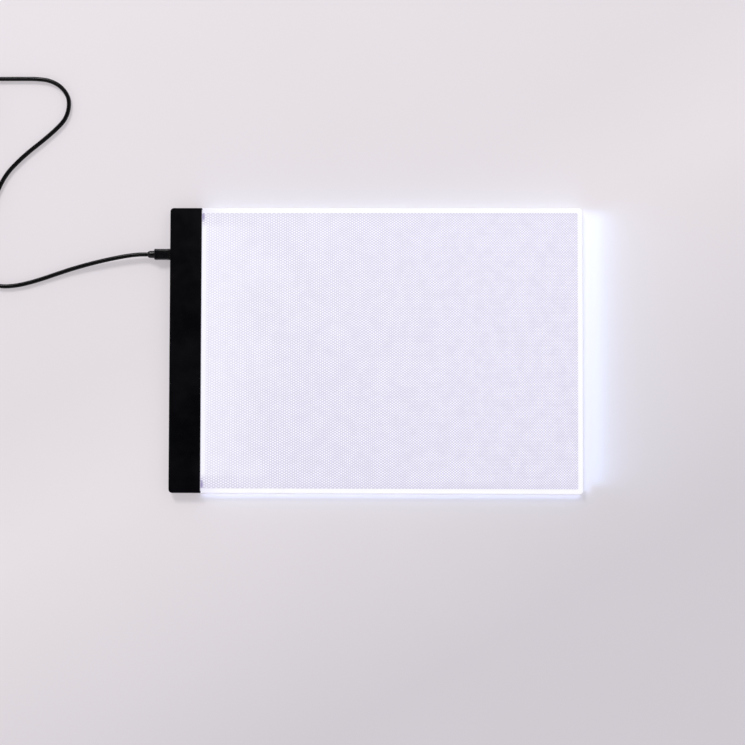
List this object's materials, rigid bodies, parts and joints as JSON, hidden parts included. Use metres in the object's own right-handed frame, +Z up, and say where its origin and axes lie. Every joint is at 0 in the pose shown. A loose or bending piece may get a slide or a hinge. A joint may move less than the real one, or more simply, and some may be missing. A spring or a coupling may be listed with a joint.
{
  "type": "led tracing pad",
  "caption": "Flat edge-lit tracing pad: a thin glowing acrylic panel held along one side by a slim black bar, with a detachable coiled USB supply cord.",
  "frame": {"origin": "on the table, under the middle of the pad (bar and panel, without the cable)", "axes": "+X from the black bar towards the panel's far edge, +Y along the bar towards its end nearest the socket, +Z up out of the lit face"},
  "size_m": [0.5556, 0.346, 0.0095],
  "materials": {
    "black_abs": "near-black moulded ABS with a fine matt grain",
    "clear_acrylic": "clear acrylic light guide, polished edges, lit",
    "matt_film": "matt diffuser film over the dotted, lit field",
    "white_film": "white reflector sheet",
    "white_tape": "white double-sided tape",
    "grey_rubber": "dark grey rubber foot",
    "clear_rubber": "translucent soft rubber foot",
    "white_board": "white solder mask on the LED strip",
    "led_package": "white LED package with a yellow phosphor window, lit",
    "green_board": "green solder mask",
    "chip_resin": "black moulded resin",
    "ceramic_chip": "tan ceramic chip with tinned ends",
    "plated_steel": "nickel-plated sheet steel",
    "zinc_screw": "zinc-plated steel screw",
    "black_insert": "black glass-filled plastic",
    "red_wire": "red PVC insulation",
    "black_wire": "black PVC insulation",
    "cord_jacket": "black PVC cord jacket with a soft sheen",
    "grip_rubber": "black overmoulded PVC",
    "tie_strip": "black flat plastic tie"
  },
  "bodies": {
    "pad": {"upper_shell": "black_abs", "lower_shell": "black_abs", "light_guide_panel": "clear_acrylic", "reflector_sheet": "white_film", "diffuser_sheet": "matt_film", "panel_tape": "white_tape", "led_strip_board": "white_board", "controller_board": "green_board", "usb_socket_shell": "plated_steel", "usb_socket_tongue": "black_insert", "touch_spring": "plated_steel", "touch_chip": "chip_resin", "power_transistor": "chip_resin", "filter_capacitor": "ceramic_chip", "wire_positive": "red_wire", "wire_negative": "black_wire", "led_01": "led_package", "led_02": "led_package", "led_03": "led_package", "led_04": "led_package", "led_05": "led_package", "led_06": "led_package", "led_07": "led_package", "led_08": "led_package", "led_09": "led_package", "led_10": "led_package", "led_11": "led_package", "led_12": "led_package", "led_13": "led_package", "led_14": "led_package", "led_15": "led_package", "led_16": "led_package", "led_17": "led_package", "led_18": "led_package", "led_19": "led_package", "led_20": "led_package", "case_screw_1": "zinc_screw", "case_screw_2": "zinc_screw", "case_screw_3": "zinc_screw", "case_screw_4": "zinc_screw", "bar_foot_1": "grey_rubber", "panel_foot_1": "clear_rubber", "bar_foot_2": "grey_rubber", "panel_foot_2": "clear_rubber"},
    "cable": {"micro_plug_grip": "grip_rubber", "micro_plug_shell": "plated_steel", "micro_plug_insert": "black_insert", "cord_run": "cord_jacket", "cord_coil": "cord_jacket", "coil_tie": "tie_strip", "cord_end": "cord_jacket", "usb_a_grip": "grip_rubber", "usb_a_shell": "plated_steel", "usb_a_insert": "black_insert"}
  },
  "joints": [
    {"name": "usb_plug_slide", "type": "slide", "parent": "pad", "child": "cable", "axis": [-1, 0, 0], "range_m": [0, 0.012]}
  ]
}
